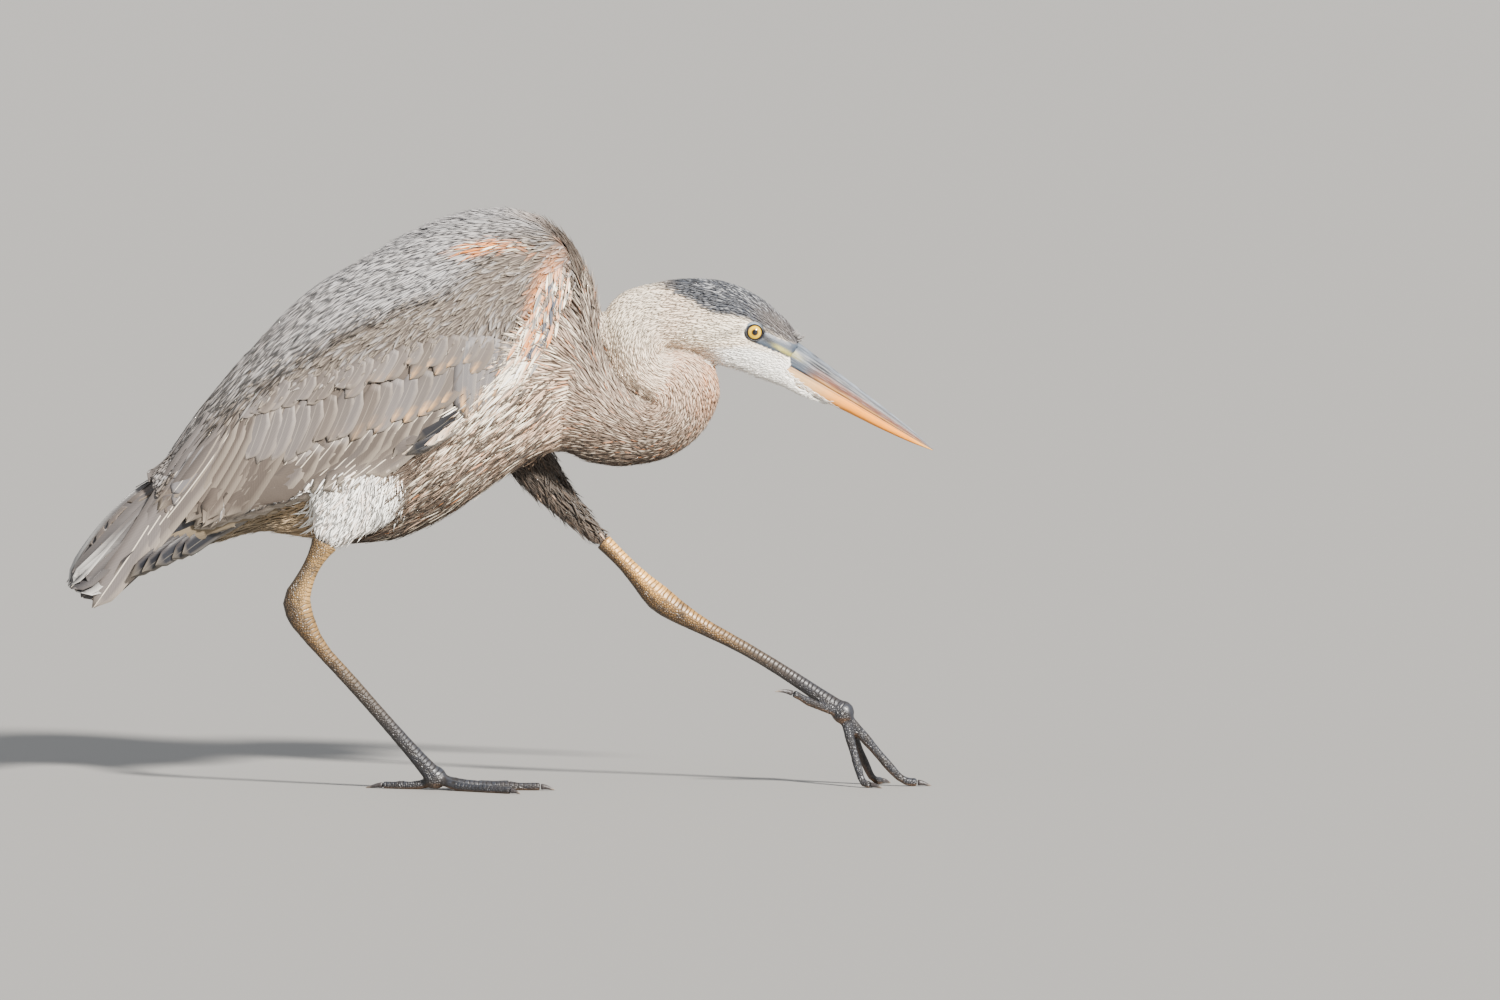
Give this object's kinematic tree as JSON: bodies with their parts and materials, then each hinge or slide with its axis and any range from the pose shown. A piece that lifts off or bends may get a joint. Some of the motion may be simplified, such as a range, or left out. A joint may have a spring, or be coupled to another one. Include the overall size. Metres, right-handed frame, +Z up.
{
  "type": "great blue heron",
  "caption": "Life-size stalking heron: low body with folded wings, neck in a tight S, long dagger bill, one leg under the body and the other stretched out in front.",
  "frame": {"origin": "on the floor, at the middle of the box round the bird", "axes": "+X towards the bill, +Y towards the bird's left, +Z up"},
  "size_m": [0.6956, 0.1386, 0.4672],
  "materials": {
    "plumage_grey": "matt feathers",
    "neck_buff": "matt feathers",
    "head_pale": "matt feathers",
    "primary_black": "satin feathers",
    "tail_grey": "matt feathers",
    "thigh_white": "soft feathers",
    "thigh_brown": "soft feathers",
    "bill_upper": "satin horn",
    "bill_lower": "satin horn",
    "eye_yellow": "wet gloss",
    "leg_skin": "scaled skin",
    "foot_skin": "scaled skin",
    "claw_horn": "satin horn"
  },
  "bodies": {
    "root": {"head": "head_pale", "bill_upper": "bill_upper", "bill_lower": "bill_lower", "eye_left": "eye_yellow", "eye_right": "eye_yellow", "neck_base": "neck_buff", "neck_front": "neck_buff", "neck_back": "head_pale", "trunk": "plumage_grey", "tail": "tail_grey", "wing_left": "plumage_grey", "wing_right": "plumage_grey", "primaries_left": "primary_black", "primaries_right": "primary_black", "thigh_left": "thigh_brown", "thigh_right": "thigh_white", "shank_left": "leg_skin", "tarsus_left": "leg_skin", "foot_left": "foot_skin", "toe_hallux_left": "foot_skin", "claw_hallux_left": "claw_horn", "toe_inner_left": "foot_skin", "claw_inner_left": "claw_horn", "toe_middle_left": "foot_skin", "claw_middle_left": "claw_horn", "toe_outer_left": "foot_skin", "claw_outer_left": "claw_horn", "shank_right": "leg_skin", "tarsus_right": "leg_skin", "foot_right": "foot_skin", "toe_hallux_right": "foot_skin", "claw_hallux_right": "claw_horn", "toe_inner_right": "foot_skin", "claw_inner_right": "claw_horn", "toe_middle_right": "foot_skin", "claw_middle_right": "claw_horn", "toe_outer_right": "foot_skin", "claw_outer_right": "claw_horn"}
  },
  "joints": []
}
